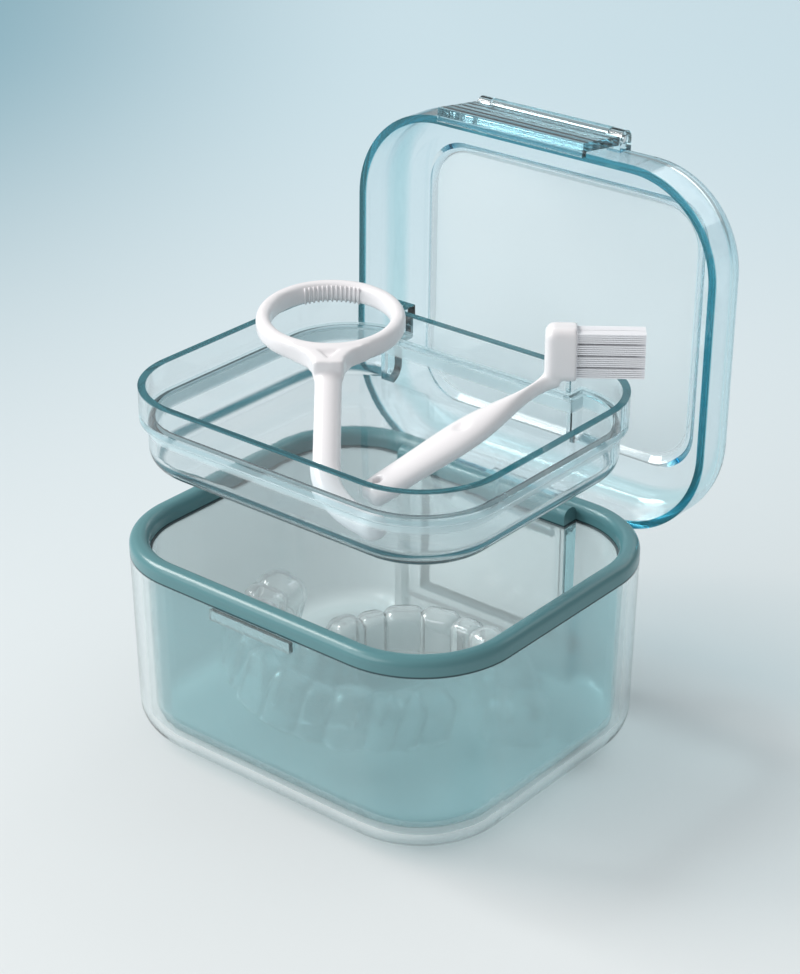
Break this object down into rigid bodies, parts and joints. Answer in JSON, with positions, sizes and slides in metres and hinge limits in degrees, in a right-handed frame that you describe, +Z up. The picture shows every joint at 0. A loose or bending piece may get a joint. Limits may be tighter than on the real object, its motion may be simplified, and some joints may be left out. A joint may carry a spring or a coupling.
{
  "type": "retainer case",
  "caption": "Retainer case with a hinged clear lid, front clasp and teal liner, a lift-out tray that holds a hook tool and an upright brush, and a pair of clear tooth aligners inside.",
  "frame": {"origin": "centre of the flat foot of the outer shell, on the surface it stands on", "axes": "+X to the right and -Y to the front, where the clasp closes; +Z up; the lid hinge is at the back, at +Y"},
  "size_m": [0.088, 0.0973, 0.1162],
  "materials": {
    "shell_clear": "clear polished plastic",
    "liner_teal": "frosted teal plastic, glossy rim",
    "steel_pin": "drawn wire",
    "lid_clear": "clear aqua plastic with a frosted panel",
    "clasp_teal": "clear teal plastic",
    "tray_clear": "clear grey teal plastic",
    "tool_white": "glossy white plastic",
    "bristle_white": "soft nylon strands",
    "aligner_clear": "thin clear plastic"
  },
  "bodies": {
    "case": {"outer_shell": "shell_clear", "liner": "liner_teal", "hinge_pin": "steel_pin"},
    "lid": {"lid": "lid_clear", "clasp_pin": "steel_pin"},
    "clasp": {"clasp": "clasp_teal"},
    "tray": {"tray": "tray_clear"},
    "hook": {"hook_tool": "tool_white"},
    "brush": {"brush_handle": "tool_white", "bristle_row_1": "bristle_white", "bristle_row_2": "bristle_white", "bristle_row_3": "bristle_white", "bristle_row_4": "bristle_white"},
    "aligners": {"upper_aligner": "aligner_clear", "lower_aligner": "aligner_clear"}
  },
  "joints": [
    {"name": "lid_hinge", "type": "hinge", "parent": "case", "child": "lid", "pos_m": [0, 0.037, 0.0364], "axis": [-1, 0, 0], "range_deg": [-91, 0]},
    {"name": "clasp_pivot", "type": "hinge", "parent": "lid", "child": "clasp", "pos_m": [0, 0.05195, 0.11335], "axis": [-1, 0, 0], "range_deg": [-7, 75]},
    {"name": "tray_lift", "type": "slide", "parent": "case", "child": "tray", "axis": [0, 0, 1], "range_m": [-0.02465, 0]},
    {"name": "hook_fold", "type": "hinge", "parent": "tray", "child": "hook", "pos_m": [0.0205, -0.0273, 0.06265], "axis": [0.771, 0.6369, 0], "range_deg": [-9.26, 0]},
    {"name": "brush_fold", "type": "hinge", "parent": "tray", "child": "brush", "pos_m": [-0.01568, 0.0239, 0.12069], "axis": [0.2761, -0.7941, 0.5414], "range_deg": [-30.08, 0]},
    {"name": "aligners_lift", "type": "slide", "parent": "case", "child": "aligners", "axis": [0, 0, 1], "range_m": [0, 0.0025]}
  ],
  "couplings": [
    {"joint": "tray_lift", "follows": "lid_hinge", "m_per_rad": 0.01552},
    {"joint": "hook_fold", "follows": "lid_hinge", "ratio": 0.10175},
    {"joint": "brush_fold", "follows": "lid_hinge", "ratio": 0.33059}
  ]
}
